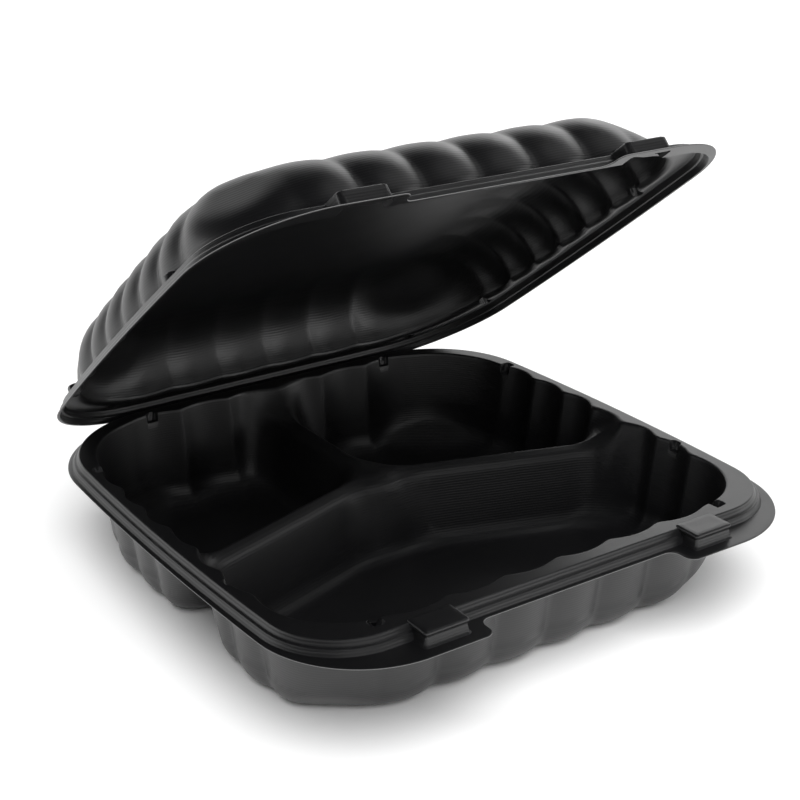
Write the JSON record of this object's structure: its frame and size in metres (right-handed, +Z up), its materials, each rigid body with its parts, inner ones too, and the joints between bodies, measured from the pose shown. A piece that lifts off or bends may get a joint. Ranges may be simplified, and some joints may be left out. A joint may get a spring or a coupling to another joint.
{
  "type": "hinged takeout container",
  "caption": "Shallow square takeout container in black formed plastic, with a fluted tray, a Y-shaped divider and a fluted domed lid on a live hinge with snap tabs.",
  "frame": {"origin": "middle of the underside of the tray, on the table", "axes": "+Z up, -Y towards the front with the latch tabs, +X to the right seen from the front; the hinge is at +Y"},
  "size_m": [0.228, 0.2372, 0.1823],
  "materials": {
    "black_sheet": "satin"
  },
  "bodies": {
    "tray": {"tray": "black_sheet"},
    "lid": {"lid": "black_sheet"}
  },
  "joints": [
    {"name": "lid_hinge", "type": "hinge", "parent": "tray", "child": "lid", "pos_m": [0, 0.1125, 0.04], "axis": [-1, 0, 0], "range_deg": [-36.3, 143.7]}
  ]
}
